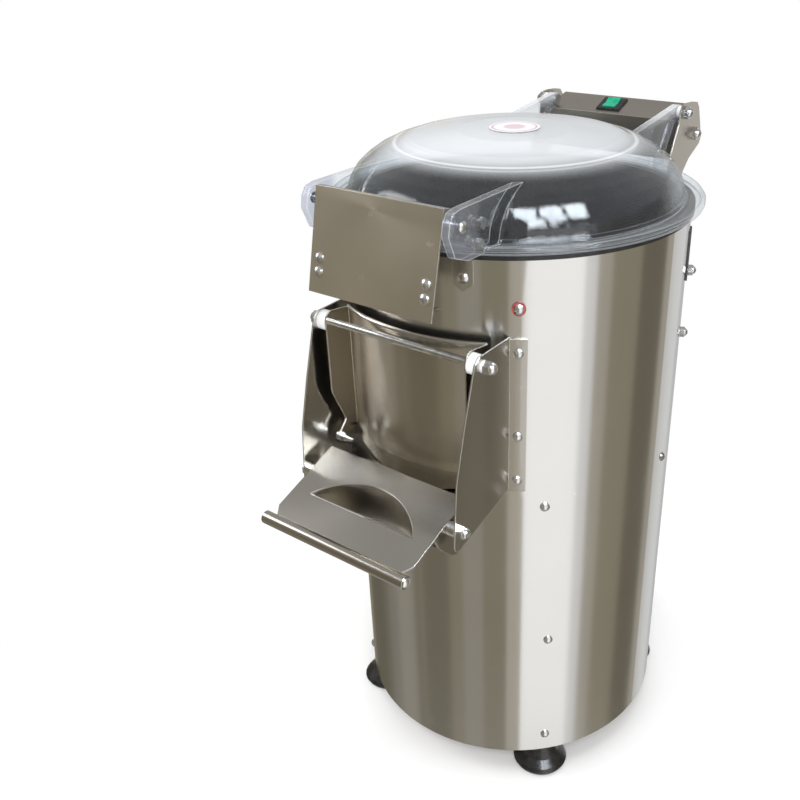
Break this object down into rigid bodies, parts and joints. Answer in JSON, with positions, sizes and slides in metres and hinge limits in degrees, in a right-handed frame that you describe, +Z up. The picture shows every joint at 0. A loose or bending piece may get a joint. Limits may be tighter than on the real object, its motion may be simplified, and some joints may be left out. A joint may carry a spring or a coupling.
{
  "type": "electric_potato_peeler",
  "caption": "Electric potato peeler: tall stainless drum with a clear hinged lid, front latch plate, hanging discharge door, tilting lip with a bar, rear switch box and rubber feet.",
  "frame": {"origin": "On the floor, under the middle of the overall box; the drum's axis stands 28.3 mm behind it.", "axes": "+Z is up, -Y is the front with the discharge door, +X is the right of someone facing the front."},
  "size_m": [0.406, 0.6006, 0.7472],
  "materials": {
    "stainless": "brushed stainless sheet",
    "screw_steel": "bright turned steel",
    "pulley_metal": "turned aluminium",
    "cast_housing": "rough casting",
    "motor_paint": "grey enamel",
    "dark_liner": "dark abrasive coating",
    "clear_plastic": "clear moulded plastic",
    "black_rubber": "black rubber",
    "dark_seal": "dark rubber strip",
    "dark_clip": "dark strip",
    "white_plastic": "white nylon",
    "red_plastic": "red washer",
    "black_plastic": "black moulding",
    "green_plastic": "green moulding",
    "label_paper": "plain round sticker"
  },
  "bodies": {
    "machine": {"body_shell": "stainless", "lower_shell": "stainless", "base_plate": "stainless", "foot_front_right": "black_rubber", "foot_rear_right": "black_rubber", "foot_rear_left": "black_rubber", "foot_front_left": "black_rubber", "foot_bolts": "screw_steel", "inner_legs": "stainless", "motor_plate": "stainless", "motor_body": "motor_paint", "v_belt": "black_rubber", "chamber_floor": "stainless", "abrasive_liner": "dark_liner", "drain_spout": "stainless", "bearing_housing": "cast_housing", "bearings": "screw_steel", "shaft_seal": "black_rubber", "inner_bolts": "screw_steel", "chute_sill": "stainless", "door_seal": "dark_seal", "chute_web_left": "stainless", "chute_web_right": "stainless", "red_washers": "red_plastic", "white_bushes": "white_plastic", "lever_pivot_bolts": "screw_steel", "rim_gasket": "black_rubber", "lid_keepers": "stainless", "hinge_bracket_left": "stainless", "hinge_bracket_right": "stainless", "hinge_bolts": "screw_steel", "switch_box": "stainless", "switch_box_floor": "stainless", "switch_bezel": "black_plastic", "cable_gland": "black_plastic", "run_capacitor": "white_plastic", "side_clips": "dark_clip", "side_bolts": "screw_steel", "drum_screws": "screw_steel"},
    "spindle": {"drive_shaft": "screw_steel", "abrasive_disc": "dark_liner", "disc_nut": "screw_steel", "driven_pulley": "pulley_metal"},
    "motor_rotor": {"motor_shaft": "screw_steel", "motor_pulley": "pulley_metal"},
    "door": {"door_panel": "stainless", "door_rod": "screw_steel", "rod_nuts": "screw_steel", "door_latch_bolts": "screw_steel"},
    "lever": {"lever_plate": "stainless", "handle_bar": "stainless", "bar_end_screws": "screw_steel"},
    "lid_unit": {"lid": "clear_plastic", "lid_label": "label_paper", "lid_ear_bolts": "screw_steel", "latch_pivot_bolts": "screw_steel"},
    "latch": {"latch_plate": "stainless", "latch_screws": "screw_steel", "latch_hooks": "stainless"},
    "rocker": {"switch_rocker": "green_plastic"}
  },
  "joints": [
    {"name": "lid_hinge", "type": "hinge", "parent": "machine", "child": "lid_unit", "pos_m": [0, 0.24533, 0.735], "axis": [-1, 0, 0], "range_deg": [0, 95]},
    {"name": "latch_hinge", "type": "hinge", "parent": "lid_unit", "child": "latch", "pos_m": [0, -0.18667, 0.709], "axis": [-1, 0, 0], "range_deg": [0, 35]},
    {"name": "door_hinge", "type": "hinge", "parent": "machine", "child": "door", "pos_m": [0, -0.17767, 0.576], "axis": [-1, 0, 0], "range_deg": [0, 55]},
    {"name": "lever_hinge", "type": "hinge", "parent": "machine", "child": "lever", "pos_m": [0, -0.21967, 0.414], "axis": [-1, 0, 0], "range_deg": [0, 35]},
    {"name": "rocker_hinge", "type": "hinge", "parent": "machine", "child": "rocker", "pos_m": [-0.008, 0.26134, 0.73122], "axis": [-1, 0, 0], "range_deg": [0, 10]},
    {"name": "disc_spin", "type": "hinge", "parent": "machine", "child": "spindle", "pos_m": [0, 0.02833, 0.333], "axis": [0, 0, 1], "continuous": true},
    {"name": "motor_spin", "type": "hinge", "parent": "machine", "child": "motor_rotor", "pos_m": [0, 0.13633, 0.303], "axis": [0, 0, 1], "continuous": true}
  ],
  "couplings": [
    {"joint": "motor_spin", "follows": "disc_spin", "ratio": 2.7778}
  ]
}
